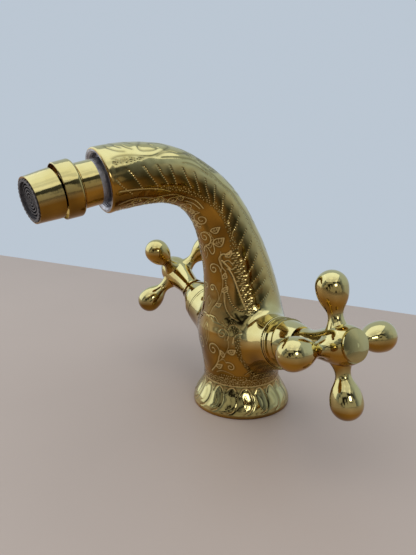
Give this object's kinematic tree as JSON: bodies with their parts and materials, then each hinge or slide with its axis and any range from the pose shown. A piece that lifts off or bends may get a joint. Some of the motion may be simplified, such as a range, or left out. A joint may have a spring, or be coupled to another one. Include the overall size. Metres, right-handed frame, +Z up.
{
  "type": "two-handle monobloc mixer faucet",
  "caption": "Deck-mounted mixer faucet: engraved brass body with a swan-neck spout, a ball-jointed outlet nozzle and a cross handle on each side for hot and cold water.",
  "frame": {"origin": "centre of the foot's underside, on the deck plane", "axes": "+Z up, -Y the way the spout points, +X towards the cold handle"},
  "size_m": [0.1636, 0.135, 0.1322],
  "materials": {
    "engraved_gold_plating": "polished gold-coloured plating over engraved brass",
    "gold_plating": "polished gold-coloured plating on smooth brass",
    "turned_brass": "turned, unplated",
    "black_rubber": "satin black rubber",
    "alumina_ceramic": "lapped white ceramic, opaque",
    "stainless_steel": "turned and pressed stainless steel",
    "white_plastic": "moulded low-friction plastic",
    "dark_plastic": "moulded dark grey plastic"
  },
  "bodies": {
    "fixed_body": {"faucet_body": "engraved_gold_plating", "base_gasket": "black_rubber", "cold_headwork_housing": "turned_brass", "cold_headwork_seal": "black_rubber", "cold_seat_seal": "black_rubber", "cold_fixed_disc": "alumina_ceramic", "cold_bonnet": "gold_plating", "hot_headwork_housing": "turned_brass", "hot_headwork_seal": "black_rubber", "hot_seat_seal": "black_rubber", "hot_fixed_disc": "alumina_ceramic", "hot_bonnet": "gold_plating", "outlet_washer": "black_rubber", "swivel_socket": "gold_plating", "swivel_seal": "black_rubber", "swivel_ring_nut": "gold_plating"},
    "cold_handle": {"cold_moving_disc": "alumina_ceramic", "cold_spindle": "turned_brass", "cold_spindle_inner_o_ring": "black_rubber", "cold_spindle_outer_o_ring": "black_rubber", "cold_glide_washer": "white_plastic", "cold_spindle_clip": "stainless_steel", "cold_cross_handle": "gold_plating", "cold_handle_screw": "stainless_steel", "cold_handle_cap": "gold_plating"},
    "hot_handle": {"hot_moving_disc": "alumina_ceramic", "hot_spindle": "turned_brass", "hot_spindle_inner_o_ring": "black_rubber", "hot_spindle_outer_o_ring": "black_rubber", "hot_glide_washer": "white_plastic", "hot_spindle_clip": "stainless_steel", "hot_cross_handle": "gold_plating", "hot_handle_screw": "stainless_steel", "hot_handle_cap": "gold_plating"},
    "slip_ring": {"swivel_slip_ring": "white_plastic"},
    "nozzle": {"swivel_ball": "turned_brass", "nozzle_shell": "gold_plating", "nozzle_washer": "black_rubber", "flow_plate": "stainless_steel", "aerator_insert": "dark_plastic"}
  },
  "joints": [
    {"name": "cold_handle_turn", "type": "hinge", "parent": "fixed_body", "child": "cold_handle", "pos_m": [0.05725, 0, 0.04894], "axis": [0.9542, 0, 0.299], "range_deg": [-87.5, 2.5]},
    {"name": "hot_handle_turn", "type": "hinge", "parent": "fixed_body", "child": "hot_handle", "pos_m": [-0.05725, 0, 0.04894], "axis": [-0.9542, 0, 0.299], "range_deg": [-46.5, 43.5]},
    {"name": "nozzle_spin", "type": "hinge", "parent": "fixed_body", "child": "slip_ring", "pos_m": [0, -0.08532, 0.11398], "axis": [0, -0.9806, -0.1959], "continuous": true},
    {"name": "nozzle_tilt", "type": "hinge", "parent": "slip_ring", "child": "nozzle", "pos_m": [0, -0.08532, 0.11398], "axis": [0.1019, -0.1949, 0.9755], "range_deg": [-15.8, 2.1]}
  ]
}
